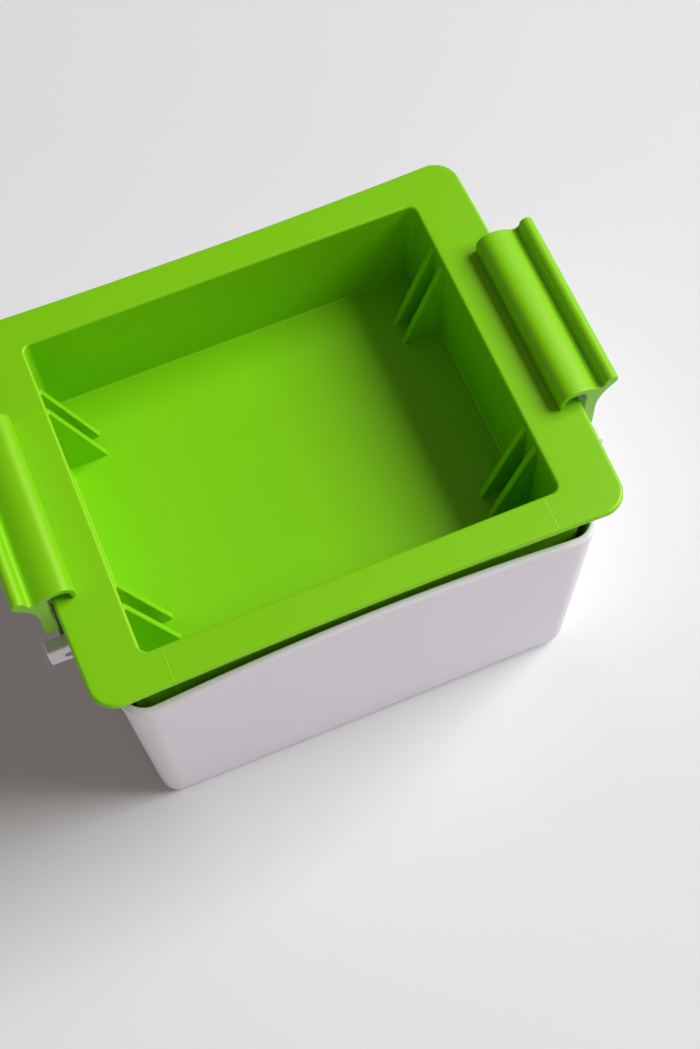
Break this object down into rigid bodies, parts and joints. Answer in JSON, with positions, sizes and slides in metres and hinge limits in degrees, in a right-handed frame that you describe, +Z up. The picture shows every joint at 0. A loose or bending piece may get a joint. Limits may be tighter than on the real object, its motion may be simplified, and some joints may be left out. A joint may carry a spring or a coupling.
{
  "type": "tofu press",
  "caption": "Rectangular tub with a slotted inner basket and a tray-shaped press lid, held down by two hook clips on elastic loops.",
  "frame": {"origin": "on the table, under the centre of the tub", "axes": "+Z up, +X along the tub's long side towards the right clip, +Y towards the back long side"},
  "size_m": [0.1868, 0.1304, 0.1149],
  "materials": {
    "white_plastic": "satin moulded polypropylene",
    "lime_plastic": "satin moulded polypropylene",
    "silicone": "matt silicone",
    "steel": "drawn stainless rod"
  },
  "bodies": {
    "tub": {"outer_tub": "white_plastic", "strainer_basket": "lime_plastic", "pin_left": "steel", "pin_right": "steel"},
    "lid": {"press_lid": "lime_plastic"},
    "bands_left": {"band_left_front": "silicone", "band_left_back": "silicone"},
    "bands_right": {"band_right_front": "silicone", "band_right_back": "silicone"},
    "clip_left": {"clip_left": "lime_plastic"},
    "clip_right": {"clip_right": "lime_plastic"}
  },
  "joints": [
    {"name": "lid_press", "type": "slide", "parent": "tub", "child": "lid", "axis": [0, 0, 1], "range_m": [-0.0057, 0]},
    {"name": "clip_left_swing", "type": "hinge", "parent": "tub", "child": "bands_left", "pos_m": [-0.0826, 0, 0.0806], "axis": [0, -1, 0], "range_deg": [0, 170]},
    {"name": "clip_right_swing", "type": "hinge", "parent": "tub", "child": "bands_right", "pos_m": [0.0826, 0, 0.0806], "axis": [0, 1, 0], "range_deg": [0, 170]},
    {"name": "clip_left_pull", "type": "slide", "parent": "bands_left", "child": "clip_left", "axis": [0, 0, 1], "range_m": [-0.0057, 0], "deforming": ["band_left_front", "band_left_back"]},
    {"name": "clip_right_pull", "type": "slide", "parent": "bands_right", "child": "clip_right", "axis": [0, 0, 1], "range_m": [-0.0057, 0], "deforming": ["band_right_front", "band_right_back"]}
  ],
  "couplings": [
    {"joint": "clip_left_pull", "follows": "lid_press", "ratio": 1},
    {"joint": "clip_right_pull", "follows": "lid_press", "ratio": 1}
  ]
}
